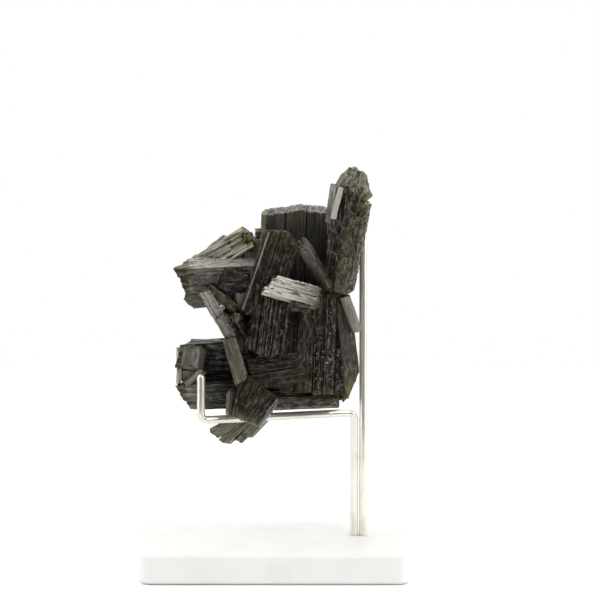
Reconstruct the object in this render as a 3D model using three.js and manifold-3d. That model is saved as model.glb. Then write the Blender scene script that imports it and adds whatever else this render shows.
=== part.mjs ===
// A cluster of dark green epidote crystals on a bent-rod stand with a plain base.
// Millimetres, +Z up. The origin is the middle of the base's underside, and -Y is the front.
import * as THREE from "three";
import { mergeVertices } from "three/addons/utils/BufferGeometryUtils.js";
import Module from "manifold-3d";

const wasm = await Module();
wasm.setup();

// Stand
const BASE = { wide: 80, deep: 56, thick: 9, corner: 3, bevel: 0.8 };
const FOOT = { x: 25, y: 4 }; // where the stem stands on the base, from the base's middle
const ROD_THICKNESS = 2.4;
const ROD_SPACING = 2.7; // the stem's two rods, from middle to middle
const ROD_SIDES = 16;
const ROD_SINKS = 7; // how far the rods go down into the base
const FIT_GAP = 0.3;
const ARM_HEIGHT = 36.8; // the arm's middle at the stem, as seen above the base
const ARM_REACH = 47;
const ARM_FORWARD = 13.4;
const HOOK_TOP = 47.3;
const BEND_RADIUS = 2.3;
const BEND_STEPS = 6;
const BACK_ROD_TOP = 96;

// Crystals
const SIGHT_TILT = THREE.MathUtils.degToRad(9); // the specimen is measured looking down by this
const RIDGE_SPACING = 3;
const RIDGE_DEPTH = 0.3;
const BLADE_OVERLAP = 1.25; // how much wider a blade is than its share of the crystal
const THINNEST_BLADE = 0.86; // the least depth of a blade, as a share of its crystal's
const BLADE_STAGGER = 0.08; // how far blades stand in front of each other, as a share of the depth
const MOSTLY_FORWARD = 0.8; // past this share of its length towards the eye, a crystal is turned by height

// Half-sections of a crystal, as shares of its half width (first) and half depth (second).
const SECTIONS = {
  lath: [[-1, -0.35], [-0.72, -1], [0.76, -1], [1, -0.3], [0.94, 0.55], [0.6, 1], [-0.66, 1], [-1, 0.4]],
  roof: [[-1, 0.1], [-0.2, -1], [0.25, -0.95], [1, 0.05], [0.8, 1], [-0.8, 1]],
  slab: [[-1, -0.75], [-0.86, -1], [0.88, -1], [1, -0.8], [1, 0.9], [-1, 0.9]],
  hexagon: [[-1, 0], [-0.5, -0.95], [0.5, -1], [1, 0], [0.5, 1], [-0.5, 0.95]],
};

// Every crystal runs from one point to another. A point is [across, up, back] from the stem's foot:
// across and up as the eye sees them along the tilted line of sight, back as the real distance.
// foot and tip slope the ends, in degrees, to the side and to the back; roof makes a tip two-sided.
const CRYSTALS = [
  // The tall crystal at the right, its rough neighbour and the pale blade at its left
  { from: [-9.8, 62, -7], to: [-1.3, 107.6, -8.5], wide: 8, deep: 10.5, turn: -10, tip: [-6, 19],
    roof: 26, peak: -1, flare: 1.18 },
  { from: [-4.6, 73.6, -10.5], to: [0.1, 96.4, -11.2], wide: 6.2, deep: 8, turn: -12, tip: [24, 0],
    roof: 10 },
  { from: [-8.8, 93, -11], to: [-7, 104.9, -11.4], wide: 2.4, deep: 4, turn: 16, section: "roof",
    tip: [8, 0] },
  // The wide upright crystal at the top and the knob on its left edge
  { from: [-19.7, 70, 2], to: [-18.8, 98.6, 2], wide: 18.8, deep: 15, tip: [4, 0], roof: 7, peak: 1.5,
    blades: 3, uneven: 0.4 },
  { from: [-25, 90.5, -3], to: [-31.2, 90.3, -3], wide: 3, deep: 3, section: "hexagon" },
  // The wedge of parallel crystals at the upper left, and the upright ends at its right
  { from: [-45, 80.4, 0], to: [-31, 89, -1], wide: 7, deep: 10, turn: -24, tip: [-6, 0], blades: 4,
    uneven: 1.4 },
  { from: [-46.4, 81.3, 3], to: [-38.4, 88.1, 2], wide: 4, deep: 8, turn: -24, tip: [-20, 0], blades: 2,
    uneven: 1.2 },
  { from: [-31, 74, -2], to: [-31.4, 89.8, -2], wide: 6.8, deep: 8, turn: 8, tip: [-24, 0], blades: 2,
    uneven: 0.6 },
  // The left slab, the stub under it and the slender pair in front
  { from: [-29, 79.2, -5], to: [-50.8, 78.3, -6], wide: 7.8, deep: 15, turn: -9, section: "slab",
    tip: [22, -30], blades: 3, uneven: 0.8 },
  { from: [-36, 73, -5], to: [-51.8, 71, -6], wide: 7, deep: 9, turn: 5, section: "hexagon",
    tip: [6, -10], roof: 26 },
  { from: [-40.8, 64, -13], to: [-46.4, 73.6, -15], wide: 3.8, deep: 3.2, turn: -12, section: "roof",
    tip: [-10, 0], roof: 24 },
  { from: [-36, 67.4, -11], to: [-45.2, 74.2, -13], wide: 2.6, deep: 3, turn: 14, tip: [10, 0],
    blades: 2, uneven: 0.6 },
  // The slender crystal that hangs in front at the left, in two pieces
  { from: [-37.8, 59, -14.5], to: [-41.8, 66, -15.5], wide: 3.2, deep: 3.4, turn: 20,
    section: "hexagon", tip: [14, 0] },
  { from: [-34.8, 46, -16.5], to: [-38.7, 59.4, -15.5], wide: 3.9, deep: 3, turn: -10, section: "slab",
    foot: [14, 0] },
  // The central slab, its lower lobe, the bright prism across it and the narrow leaning crystal
  { from: [-30.2, 66, -11], to: [-21.8, 92, -11], wide: 9.6, deep: 8, turn: -6, section: "slab",
    tip: [-13, -6], roof: 28, peak: 1.2, blades: 2, uneven: 0.4 },
  { from: [-25.2, 76, -11], to: [-28.4, 53, -12], wide: 10.4, deep: 9, turn: -6, roof: 24, blades: 3,
    uneven: 1 },
  { from: [-28.2, 75.4, -17.5], to: [-10.6, 70.4, -15.2], wide: 5.6, deep: 4.2, turn: -26,
    section: "slab", foot: [-29, 0], tip: [-7, 20], flare: 1.02, blades: 4, uneven: 1.3 },
  { from: [-8.8, 73.8, -13], to: [-16.8, 87, -13.4], wide: 3.8, deep: 3.6, turn: 12, section: "roof",
    tip: [10, 40], flare: 1.2 },
  // The upright striated crystals at the lower right, with the small one that sticks out
  { from: [-18.4, 43, -6], to: [-17, 72, -5], wide: 10, deep: 14, turn: -6, blades: 2, uneven: 1.2 },
  { from: [-9.6, 42.6, -6], to: [-8.6, 74, -6], wide: 9.4, deep: 15, turn: 3, blades: 3, uneven: 1 },
  { from: [-3, 45.2, -7], to: [-6.2, 71, -6.5], wide: 6, deep: 12, turn: 14, foot: [60, 0], uneven: 0.6 },
  { from: [-4.3, 71.8, -13.6], to: [-0.4, 60.8, -13.6], wide: 2.7, deep: 2.8, turn: -28, tip: [8, 0],
    roof: 24 },
  // The lying crystals at the bottom, with the small ones at their left end
  { from: [-5, 43, -1], to: [-51.2, 41.8, -1.5], wide: 7.4, deep: 19, turn: 7, foot: [-24, 0],
    tip: [30, -14], blades: 3, uneven: 0.6 },
  { from: [-16, 50.2, 3], to: [-51, 52, 4], wide: 11, deep: 13, section: "slab", blades: 2, uneven: 1 },
  { from: [-45.6, 50.6, -1], to: [-52.4, 51.2, -1], wide: 10.4, deep: 13, turn: -6, tip: [10, -30],
    roof: 20, blades: 2, uneven: 0.8 },
  { from: [-30, 58.4, -2], to: [-51.4, 56.8, -2], wide: 2.2, deep: 9, turn: 2, section: "slab",
    tip: [20, -26] },
  { from: [-51.6, 44.6, -8.4], to: [-46, 49.8, -9.4], wide: 2.4, deep: 3, turn: -10, section: "roof",
    tip: [20, 0] },
  { from: [-53.7, 45.2, -5], to: [-53.7, 56.6, -4], wide: 1.3, deep: 4, turn: 10, tip: [10, 0] },
  { from: [-15, 51, -8.6], to: [-33.4, 48, -9.4], wide: 9.4, deep: 9, turn: 10, blades: 2, uneven: 1 },
  // The stout prism in front of the arm and the jagged bundle behind it
  { from: [-34, 34, -15.5], to: [-29, 45.4, -13], wide: 8.6, deep: 7.6, turn: -7, tip: [-14, 0],
    flare: 1.5, blades: 2, uneven: 0.3 },
  { from: [-37.9, 35.8, -15], to: [-37.4, 43.6, -13], wide: 4.4, deep: 6, turn: -34, section: "roof",
    foot: [-20, 0], tip: [46, 0] },
  { from: [-30, 38.4, -1], to: [-43.6, 30.4, -1.4], wide: 3.4, deep: 6, tip: [20, 0] },
  { from: [-29, 38, 0], to: [-40.4, 27.8, 0], wide: 3.4, deep: 7, turn: 10, tip: [24, 0] },
  { from: [-27, 37.6, 1], to: [-36.4, 28.8, 1], wide: 3, deep: 7, turn: -8, tip: [20, 0] },
  { from: [-26.4, 37.4, 0], to: [-34, 29.6, 0], wide: 3.6, deep: 7, turn: 8, tip: [30, 0] },
  // Small crossed crystals in the hollow at the left of the slab
  { from: [-28, 64, -1], to: [-41, 67.6, -3], wide: 7.4, deep: 8, turn: 10, blades: 2, uneven: 0.6 },
  { from: [-34, 65.2, -7], to: [-36.7, 65.2, -15.6], wide: 3, deep: 3, section: "hexagon" },
  { from: [-31, 61, -9], to: [-41, 67, -9], wide: 3.4, deep: 4, turn: 20 },
  { from: [-38, 59.4, -9], to: [-33.6, 70, -10], wide: 2.8, deep: 4, turn: -14 },
  { from: [-34, 66, -9], to: [-34.6, 74, -11], wide: 4.4, deep: 4, turn: 12, blades: 2, uneven: 0.8 },
  { from: [-29, 78, -10], to: [-42.4, 76.8, -13.4], wide: 5.4, deep: 4, turn: 4, section: "slab",
    tip: [-16, 20], blades: 2, uneven: 1.5 },
  { from: [-31.4, 57, -10], to: [-37, 66, -12], wide: 2.4, deep: 3, turn: -20, section: "roof" },
  // Crystals of the back, which the photograph doesn't show
  { from: [-24, 42, 7], to: [-14, 88, 8], wide: 15, deep: 11, turn: 10, blades: 2, uneven: 3 },
  { from: [-12, 58, 6], to: [-44, 80, 5], wide: 9, deep: 11, turn: 12, blades: 2, uneven: 2 },
  { from: [-9, 52, 3], to: [-8, 84, 3], wide: 8, deep: 9, turn: -12, uneven: 2 },
  { from: [-42, 45, 9], to: [-12, 49, 12], wide: 8, deep: 9, turn: 16, blades: 2, uneven: 2 },
  // Slim crystals and blocks that finish the front
  { from: [-25.2, 70, -12.6], to: [-20, 87, -12.6], wide: 4, deep: 5.6, turn: 6, tip: [20, 0],
    uneven: 1 },
  { from: [-34.6, 55, -3], to: [-36.4, 70, -4], wide: 6, deep: 8, turn: 12, blades: 2, uneven: 1 },
  { from: [-28.6, 72, -1], to: [-27.8, 97, -2], wide: 1.8, deep: 8, turn: -8 },
  { from: [-0.8, 100.4, -11.6], to: [3.2, 103.4, -12.2], wide: 4.8, deep: 5, turn: 20,
    section: "hexagon", roof: 14 },
  { from: [-25.5, 39.6, -10.6], to: [-5.6, 40.3, -10.2], wide: 3.4, deep: 2.6, turn: -30,
    section: "slab" },
  { from: [-0.8, 90, -10.6], to: [1.9, 100.4, -11], wide: 4.4, deep: 7, turn: -6, tip: [-12, 0],
    roof: 16 },
  { from: [-5.1, 72.6, -11.6], to: [-3, 84.2, -12.2], wide: 5.6, deep: 6, turn: -16, tip: [14, 0],
    roof: 12 },
  { from: [-7.6, 94.4, -13], to: [-5.2, 104.3, -13.4], wide: 1.7, deep: 2.4, turn: -10, section: "slab" },
  { from: [-49.8, 50.6, -6.8], to: [-48.9, 57, -6.6], wide: 7.4, deep: 4, turn: -22, tip: [10, -20],
    roof: 14 },
  { from: [-20.6, 68.9, -18.6], to: [-15, 67.9, -17.6], wide: 2.8, deep: 2.4, turn: 10 },
];

function degrees(angle) {
  return THREE.MathUtils.degToRad(angle);
}

// A repeatable number from 0 to 1 for each seed.
function chance(seed) {
  const wave = Math.sin(seed * 12.9898) * 43758.5453;
  return wave - Math.floor(wave);
}

function toManifold(geometry) {
  geometry.deleteAttribute("normal");
  geometry.deleteAttribute("uv");
  const merged = mergeVertices(geometry, 1e-4);
  return new wasm.Manifold(new wasm.Mesh({
    numProp: 3,
    vertProperties: new Float32Array(merged.attributes.position.array),
    triVerts: new Uint32Array(merged.index.array),
  }));
}

// The largest closed surface: small gaps sealed between crossing crystals count as solid.
function outerBody(manifold) {
  const surfaces = manifold.decompose();
  return surfaces.reduce((largest, surface) => (surface.volume() > largest.volume() ? surface : largest));
}

function toGeometry(manifold) {
  const mesh = manifold.getMesh();
  const geometry = new THREE.BufferGeometry();
  geometry.setAttribute("position", new THREE.BufferAttribute(mesh.vertProperties, 3));
  geometry.setIndex(new THREE.BufferAttribute(mesh.triVerts, 1));
  geometry.computeVertexNormals();
  return geometry;
}

// From a point as seen (across, up, back) to the object's frame.
function place([across, up, back]) {
  const height = (up - back * Math.sin(SIGHT_TILT)) / Math.cos(SIGHT_TILT);
  return new THREE.Vector3(FOOT.x + across, FOOT.y + back, BASE.thick + height);
}

// A section with shallow grooves along its long sides.
function ridgedOutline(section, wide, deep, seed) {
  const half = new THREE.Vector2(wide / 2, deep / 2);
  const corners = SECTIONS[section].map(([side, back]) => new THREE.Vector2(side, back).multiply(half));
  const outline = [];
  corners.forEach((corner, index) => {
    const next = corners[(index + 1) % corners.length];
    const along = next.clone().sub(corner);
    const inward = new THREE.Vector2(-along.y, along.x).normalize();
    const steps = Math.max(1, Math.round(along.length() / RIDGE_SPACING));
    for (let step = 0; step < steps; step += 1) {
      const dip = step % 2 ? RIDGE_DEPTH * (0.4 + 0.6 * chance(seed + index + step)) : 0;
      outline.push(corner.clone().addScaledVector(along, step / steps).addScaledVector(inward, dip));
    }
  });
  return outline;
}

// How far an end stands out at a place of the section: sloped, and peaked where it has a roof.
function endHeight(side, back, [toSide, toBack], roof, peak) {
  const slope = side * Math.tan(degrees(toSide)) + back * Math.tan(degrees(toBack));
  return slope - Math.abs(side - peak) * Math.tan(degrees(roof));
}

function shapeEnds(geometry, length, { foot = [0, 0], tip = [0, 0], roof = 0, peak = 0, flare = 1 }) {
  const position = geometry.attributes.position;
  for (let index = 0; index < position.count; index += 1) {
    const isTip = position.getZ(index) > length / 2;
    const widening = isTip ? flare : 1;
    const side = position.getX(index) * widening;
    const back = position.getY(index) * widening;
    const rise = isTip ? endHeight(side, back, tip, roof, peak) : endHeight(side, back, foot, 0, 0);
    position.setXYZ(index, side, back, isTip ? length + rise : rise);
  }
}

// Lays a prism that was made along Z between two points, with its front face to the front.
function alongAxis(start, end, turn) {
  const axis = end.clone().sub(start).normalize();
  const isForward = Math.abs(axis.y) > MOSTLY_FORWARD;
  const behind = isForward ? new THREE.Vector3(0, 0, 1) : new THREE.Vector3(0, 1, 0);
  const side = behind.clone().cross(axis).normalize();
  const back = axis.clone().cross(side);
  const matrix = new THREE.Matrix4().makeBasis(side, back, axis);
  matrix.multiply(new THREE.Matrix4().makeRotationZ(degrees(turn)));
  return matrix.setPosition(start);
}

// One crystal is one blade, or several side by side with uneven ends.
function crystalBlades(crystal, seed) {
  const { from, to, wide, deep, turn = 0, section = "lath", blades = 1, uneven = 0 } = crystal;
  const start = place(from);
  const end = place(to);
  const length = start.distanceTo(end);
  const share = wide / blades;
  return Array.from({ length: blades }, (_, number) => {
    const own = seed * 10 + number;
    const bladeWide = blades > 1 ? share * BLADE_OVERLAP : wide;
    const thinning = blades > 1 ? (1 - THINNEST_BLADE) * chance(own) : 0;
    const shape = new THREE.Shape(ridgedOutline(section, bladeWide, deep * (1 - thinning), own));
    const geometry = new THREE.ExtrudeGeometry(shape, { depth: length, bevelEnabled: false });
    const stagger = (chance(own + 5) - 0.5) * deep * BLADE_STAGGER;
    geometry.translate((number - (blades - 1) / 2) * share, stagger, 0);
    shapeEnds(geometry, length, crystal);
    const lower = uneven * chance(own + 1);
    const upper = uneven * chance(own + 2);
    geometry.scale(1, 1, (length - lower - upper) / length);
    geometry.translate(0, 0, lower);
    geometry.applyMatrix4(alongAxis(start, end, turn));
    return toManifold(geometry);
  });
}

// A path of straight lines with rounded bends, stepped once for each straight and finely round a bend.
class BentPath extends THREE.Curve {
  constructor(points) {
    super();
    this.route = new THREE.CurvePath();
    this.stops = [0];
    let last = points[0];
    points.slice(1, -1).forEach((corner, index) => {
      const enter = corner.clone().add(last.clone().sub(corner).setLength(BEND_RADIUS));
      const leave = corner.clone().add(points[index + 2].clone().sub(corner).setLength(BEND_RADIUS));
      this.extend(new THREE.LineCurve3(last, enter), 1);
      this.extend(new THREE.QuadraticBezierCurve3(enter, corner, leave), BEND_STEPS);
      last = leave;
    });
    this.extend(new THREE.LineCurve3(last, points[points.length - 1]), 1);
  }

  extend(curve, steps) {
    const before = this.stops[this.stops.length - 1];
    this.route.add(curve);
    for (let step = 1; step <= steps; step += 1) {
      this.stops.push(before + curve.getLength() * step / steps);
    }
  }

  getPoint(share) {
    return this.route.getPoint(share);
  }

  // The share of the way at which a step of the tube stands.
  getUtoTmapping(share) {
    const stop = Math.round(share * (this.stops.length - 1));
    return this.stops[stop] / this.stops[this.stops.length - 1];
  }
}

function roundRod(points, radius) {
  const path = new BentPath(points);
  const section = new THREE.Shape();
  section.absarc(0, 0, radius, 0, Math.PI * 2);
  const rod = new THREE.ExtrudeGeometry(section, {
    steps: path.stops.length - 1, extrudePath: path, curveSegments: ROD_SIDES / 2, bevelEnabled: false,
  });
  const top = new THREE.SphereGeometry(radius * 0.999, ROD_SIDES, ROD_SIDES / 2);
  top.applyMatrix4(new THREE.Matrix4().makeRotationX(Math.PI / 2).setPosition(points[points.length - 1]));
  return toManifold(rod).add(toManifold(top));
}

function armPoints() {
  const stem = -ROD_SPACING / 2;
  const foot = place([stem, 0, 0]);
  const corner = place([stem, ARM_HEIGHT, 0]);
  const reach = new THREE.Vector3(-ARM_REACH + ROD_SPACING / 2, -ARM_FORWARD, 0);
  const hookFoot = corner.clone().add(reach);
  const hookTop = place([-ARM_REACH, HOOK_TOP, -ARM_FORWARD]);
  foot.z -= ROD_SINKS;
  return [foot, corner, hookFoot, hookTop];
}

function backRodPoints() {
  const foot = place([ROD_SPACING / 2, 0, 0]);
  foot.z -= ROD_SINKS;
  return [foot, place([ROD_SPACING / 2, BACK_ROD_TOP, 0])];
}

function baseBlock() {
  const half = { wide: BASE.wide / 2 - BASE.bevel, deep: BASE.deep / 2 - BASE.bevel };
  const shape = new THREE.Shape();
  const turn = BASE.corner;
  shape.moveTo(turn - half.wide, -half.deep);
  shape.absarc(half.wide - turn, turn - half.deep, turn, -Math.PI / 2, 0);
  shape.absarc(half.wide - turn, half.deep - turn, turn, 0, Math.PI / 2);
  shape.absarc(turn - half.wide, half.deep - turn, turn, Math.PI / 2, Math.PI);
  shape.absarc(turn - half.wide, turn - half.deep, turn, Math.PI, Math.PI * 1.5);
  const geometry = new THREE.ExtrudeGeometry(shape, {
    depth: BASE.thick - 2 * BASE.bevel, bevelThickness: BASE.bevel, bevelSize: BASE.bevel,
    bevelSegments: 1, curveSegments: 3,
  });
  geometry.translate(0, 0, BASE.bevel);
  return toManifold(geometry);
}

function named(name, manifold, look) {
  const mesh = new THREE.Mesh(toGeometry(manifold), new THREE.MeshStandardMaterial(look));
  mesh.name = name;
  return mesh;
}

const radius = ROD_THICKNESS / 2;
const armRod = roundRod(armPoints(), radius);
const backRod = roundRod(backRodPoints(), radius);
const rodRoom = roundRod(armPoints(), radius + FIT_GAP).add(roundRod(backRodPoints(), radius + FIT_GAP));
const grown = wasm.Manifold.union(CRYSTALS.flatMap((crystal, index) => crystalBlades(crystal, index + 1)));
const cluster = outerBody(grown.subtract(rodRoom));

const polished = { color: 0xd9d4c6, roughness: 0.18, metalness: 1 };
const model = new THREE.Group();
model.add(named("epidote_cluster", cluster, { color: 0x26281d, roughness: 0.35, metalness: 0 }));
model.add(named("arm_rod", armRod, polished));
model.add(named("back_rod", backRod, polished));
model.add(named("base", baseBlock().subtract(rodRoom), { color: 0xf4f3ef, roughness: 0.5, metalness: 0 }));

export default model;
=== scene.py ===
# %% [markdown]
# An epidote crystal cluster on its display stand.
#
# Epidote grows as long, nearly black green prisms. Their sides are striated: each crystal is a bundle of thin
# laths that grew side by side, so it carries fine straight lines along its length, and its ends break off
# unevenly. The cluster rests on a stand of two bent, polished rods in a plain white base.
#
# The solid model gives the true sizes and places. This lesson dresses it: every crystal becomes a fine surface
# made of laths, the rods become smooth tubes, and each surface gets a material worked out from nodes.

# %% Load the solid model
import math
from dataclasses import dataclass

import bpy
import numpy as np
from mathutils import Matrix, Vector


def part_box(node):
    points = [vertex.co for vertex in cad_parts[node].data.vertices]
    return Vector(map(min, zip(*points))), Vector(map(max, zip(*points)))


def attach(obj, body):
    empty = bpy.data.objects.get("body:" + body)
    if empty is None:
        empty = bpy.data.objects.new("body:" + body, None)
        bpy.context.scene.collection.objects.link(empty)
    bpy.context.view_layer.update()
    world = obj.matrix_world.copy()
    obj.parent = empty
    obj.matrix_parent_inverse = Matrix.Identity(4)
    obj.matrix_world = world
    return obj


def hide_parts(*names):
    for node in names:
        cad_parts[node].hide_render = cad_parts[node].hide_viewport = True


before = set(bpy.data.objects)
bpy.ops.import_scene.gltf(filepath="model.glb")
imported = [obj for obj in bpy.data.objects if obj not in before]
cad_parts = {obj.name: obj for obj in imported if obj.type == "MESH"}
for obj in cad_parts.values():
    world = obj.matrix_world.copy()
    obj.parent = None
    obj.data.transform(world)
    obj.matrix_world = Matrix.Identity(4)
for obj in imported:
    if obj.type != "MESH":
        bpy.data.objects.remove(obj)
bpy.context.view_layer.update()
print("solid nodes:", sorted(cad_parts))

# %% [markdown]
# The specimen is measured as the eye sees it from the front, looking down by nine degrees. A point is given as
# across, up and back from the foot of the stem: across and up are what a ruler held in front of the eye would
# read, and back is the true distance behind the stem. Working this way keeps the outlines right from the front,
# while each crystal can still be moved nearer or further away. Lengths here are millimetres.

# %% Where things are
MM = 0.001
SIGHT_TILT = math.radians(9)

arm_box, back_box, base_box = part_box("arm_rod"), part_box("back_rod"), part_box("base")
FOOT = np.array([
    (arm_box[1].x + back_box[0].x) / 2,
    (back_box[0].y + back_box[1].y) / 2,
    base_box[1].z,
]) / MM
ROD_RADIUS = (back_box[1].x - back_box[0].x) / 2 / MM


def place(point):
    """A point given as across, up and back, in the object's own frame.

    Height is what the eye sees less what the distance behind adds to it, stretched for the tilt of the sight."""
    across, up, back = point
    height = (up - back * math.sin(SIGHT_TILT)) / math.cos(SIGHT_TILT)
    return FOOT + np.array([across, back, height])


print("foot of the stem", FOOT.round(2), "mm, rod radius", round(ROD_RADIUS, 2), "mm")

# %% [markdown]
# A crystal is described by a few plain facts, as a field guide would: where it starts and ends, how wide and deep
# it is, what section it has and how its ends slope. The rest says how its surface looks: how wide its laths are,
# how far they stand in front of each other, how jagged its ends are, where it turns olive or rough, and how much
# painted light, painted shade and painted glints it gets.
# A dataclass suits this, because most crystals need only a few of the values.


# %% What describes a crystal
@dataclass
class Crystal:
    start: tuple
    end: tuple
    wide: float
    deep: float
    turn: float = 0  # degrees about its own length
    section: str = "lath"
    foot: tuple = (0, 0)  # how the starting end slopes to the side and to the back, in degrees
    tip: tuple = (0, 0)
    roof: float = 0  # the pitch of a two-sided tip, in degrees
    peak: float = 0  # where the roof's ridge stands
    flare: float = 1  # how much wider the tip is than the start
    blades: int = 1
    uneven: float = 0  # how unevenly the blades end
    lath: float = 0.45  # mean width of the laths on the sides
    relief: float = 0.07  # how far laths stand in front of each other
    glint: float = 0.14  # how far laths lean, as a share of their width
    lumps: float = 0.0  # how uneven its sides are from place to place
    step: float = 2.2  # mean distance between the ledges along a lath
    jagged: float = 0.6  # how rough the ends are
    olive: tuple = (0.15, 0.15)  # how olive the start and the tip are, 0 to 1
    reach: float = 2.0  # how far along from an end the olive goes
    rough: tuple = (0, 0, 1)  # the way that its granular faces look
    granular: float = 0.0  # how granular those faces are, 0 to 1
    pale: float = 0.0  # painted light: lightens it where highlights and lit faces are painted on, 0 to 1
    pale_way: tuple = ()  # the way that the faces with the most painted light look, as if lit from there
    pale_reach: float = 200.0  # how far along from the tip the painted light goes
    pale_fade: float = 0.001  # over what length the painted light fades away towards the tip
    cracks: float = 0.0  # how dark the cracks in its painted light are, 0 to 1
    painted_shade: float = 0.0  # painted shade: how much darker and duller it is drawn, as deep in a hollow
    painted_glints: float = 0.0  # painted glints: how many white specks its sides carry, 0 to 1


SECTIONS = {
    "lath": [(-1, -0.35), (-0.72, -1), (0.76, -1), (1, -0.3), (0.94, 0.55), (0.6, 1), (-0.66, 1), (-1, 0.4)],
    "roof": [(-1, 0.1), (-0.2, -1), (0.25, -0.95), (1, 0.05), (0.8, 1), (-0.8, 1)],
    "slab": [(-1, -0.75), (-0.86, -1), (0.88, -1), (1, -0.8), (1, 0.9), (-1, 0.9)],
    "hexagon": [(-1, 0), (-0.5, -0.95), (0.5, -1), (1, 0), (0.5, 1), (-0.5, 0.95)],
}
print("sections:", ", ".join(f"{name} has {len(corners)} sides" for name, corners in SECTIONS.items()))

# %% [markdown]
# Nature is uneven but a script must give the same result each time. A hash does both: it turns a number that
# names a lath or a ledge into what looks like a throw of dice, and always the same throw.


# %% Repeatable chance
def chance(seed):
    """A number from 0 to 1 for each seed: the part after the point of 43758.5453 times the sine of the seed."""
    wave = np.sin(np.asarray(seed, float) * 12.9898) * 43758.5453
    return wave - np.floor(wave)


print("chances of the first seeds", chance(np.arange(1, 5)).round(2))

# %% [markdown]
# The sides come first. Real striae are the edges of laths, so the section is walked once round and every flat side
# is shared out among laths of uneven width. A lath gets a column of points at each of its two edges, and a narrow
# riser joins it to the next one. Two columns a lath are enough, since a lath is flat, and the risers keep the
# lines crisp, which a bump map alone could not do at the outline.

# %% Columns round a section
RIDGE_SPACING = 3.0
RIDGE_DEPTH = 0.3
RISER = 0.07


def ridge_dips(stops, length, own, index):
    """How far a side dips inwards: a zigzag between steps of equal length, in which every second step dips."""
    steps = max(1, round(length / RIDGE_SPACING))
    step = np.arange(steps + 1)
    dips = np.where(step % 2 == 1, RIDGE_DEPTH * (0.4 + 0.6 * chance(own + index + step)), 0)
    dips[-1] = 0
    return np.interp(stops / length * steps, step, dips)


def side_columns(crystal, wide, deep, own):
    """The columns of one blade, walked once round: where each stands, the way inwards, its lath and its distances.

    A column is a corner plus the walked share of its side; laths have widths of a third to one and a half times
    their mean."""
    corners = np.array(SECTIONS[crystal.section]) * (wide / 2, deep / 2)
    found = {key: [] for key in ("spot", "inward", "dip", "lath", "edge", "walked", "corner")}
    laths = 0
    walked = 0
    for index, corner in enumerate(corners):
        along = corners[(index + 1) % len(corners)] - corner
        length = np.hypot(*along)
        count = max(1, round(length / crystal.lath))
        widths = 0.35 + 1.3 * chance(own * 7.3 + index * 31 + np.arange(count))
        bounds = np.concatenate([[0], np.cumsum(widths)]) / widths.sum() * length
        riser = min(RISER, 0.3 * length / count) / 2
        stops = np.stack([bounds[:-1] + riser, bounds[1:] - riser], 1).ravel()
        found["spot"].append(corner + stops[:, None] * along / length)
        found["inward"].append(np.tile([-along[1] / length, along[0] / length], (2 * count, 1)))
        found["dip"].append(ridge_dips(stops, length, own, index))
        found["lath"].append(laths + np.repeat(np.arange(count), 2))
        found["edge"].append(np.tile([-1.0, 1.0], count))
        found["walked"].append(walked + stops)
        found["corner"].append(np.minimum(stops, length - stops))
        laths += count
        walked += length
    columns = {key: np.concatenate(parts) for key, parts in found.items()}
    columns["round"] = walked
    return columns


sample = side_columns(Crystal((0, 0, 0), (0, 10, 0), 8, 10), 8, 10, 1)
print("a crystal of 8 by 10 mm has", len(sample["lath"]), "columns in", sample["lath"].max() + 1, "laths")

# %% [markdown]
# Along the length, laths end in ledges: a thin one that lies on the others stops, and the one under it shows.
# So the rows stand in pairs at a few breaks, and at a break a lath, or a plate of several laths, may step down.
# All of this is one array of insets, worked out at once for every row and column.

# %% Ledges along a blade
LATHS_TO_A_PLATE = 5
SWELL = 0.05  # how far a side swells and sinks over a few millimetres


def break_rows(length, spacing, own):
    """The rows along a blade as shares of its length, and the stretch between breaks that each belongs to.

    The breaks are the running sum of stretches of 0.4 to 1.6 times their mean, with a row just before and after."""
    stretches = max(2, round(length / spacing))
    parts = 0.4 + 1.2 * chance(own * 3.7 + np.arange(stretches))
    breaks = np.concatenate([[0], np.cumsum(parts)]) / parts.sum()
    gap = min(RISER, 0.1 * spacing) / length
    rows = np.stack([breaks[:-1] + gap, breaks[1:] - gap], 1).ravel()
    rows[0], rows[-1] = 0, 1
    return rows, np.repeat(np.arange(stretches), 2), stretches


def swelling(walked, along, own):
    """A slow rise and fall over a side: two crossed waves of 7 and 3 millimetres, the second half as high."""
    slow = np.sin(walked * 0.9 + own) * np.sin(along * 0.75 + own * 2)
    quick = np.sin(walked * 2.1 + own * 3) * np.sin(along * 1.9 + own)
    return slow + 0.5 * quick


def lath_insets(crystal, columns, heights, stretch, stretches, own):
    """How far each row and column stands inwards of the plain section.

    It is the side's own dip and swelling, plus a level and a lean for each lath, plus a step where a lath or a
    plate has ended before or after that stretch, less the mean of these, so that the crystal keeps its size."""
    lath, plate = columns["lath"], columns["lath"] // LATHS_TO_A_PLATE
    row = stretch[:, None]
    level = chance(own * 3.1 + lath)
    whole = 2 * chance(own * 5.7 + lath) - 1
    local = 2 * chance(own * 4.1 + lath * 2.9 + row * 1.3) - 1
    lean = crystal.glint * crystal.lath * (whole ** 3 + 0.4 * local ** 3) * columns["edge"]
    ends = np.floor(chance(own * 1.3 + lath * 1.7) * stretches * 1.7)
    starts = np.floor(chance(own * 2.9 + lath * 2.3) * stretches * 1.7) - 0.7 * stretches
    plate_ends = np.floor(chance(own * 2.3 + plate * 3.1) * stretches * 1.6)
    steps = 0.8 * (row >= ends) + 0.8 * (row < starts) + 1.2 * (row >= plate_ends)
    swell = SWELL * swelling(columns["walked"], heights[:, None], own)
    knobs = crystal.lumps * chance(own * 1.7 + lath * 1.1 + row * 2.3)
    return columns["dip"] + swell + lean + knobs + crystal.relief * (level + steps - 1.3)


print("rows of a blade 20 mm long:", len(break_rows(20, 2.2, 1)[0]))

# %% [markdown]
# The ends come next. A sloped or two-sided end is a formula of the place in the section, and on top of it the
# laths stop at uneven heights. The ends are closed by rings that shrink to a pole in the middle, with a narrow
# bevel round the rim, because a knife edge never catches the light and a real crystal's edge does.

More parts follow.
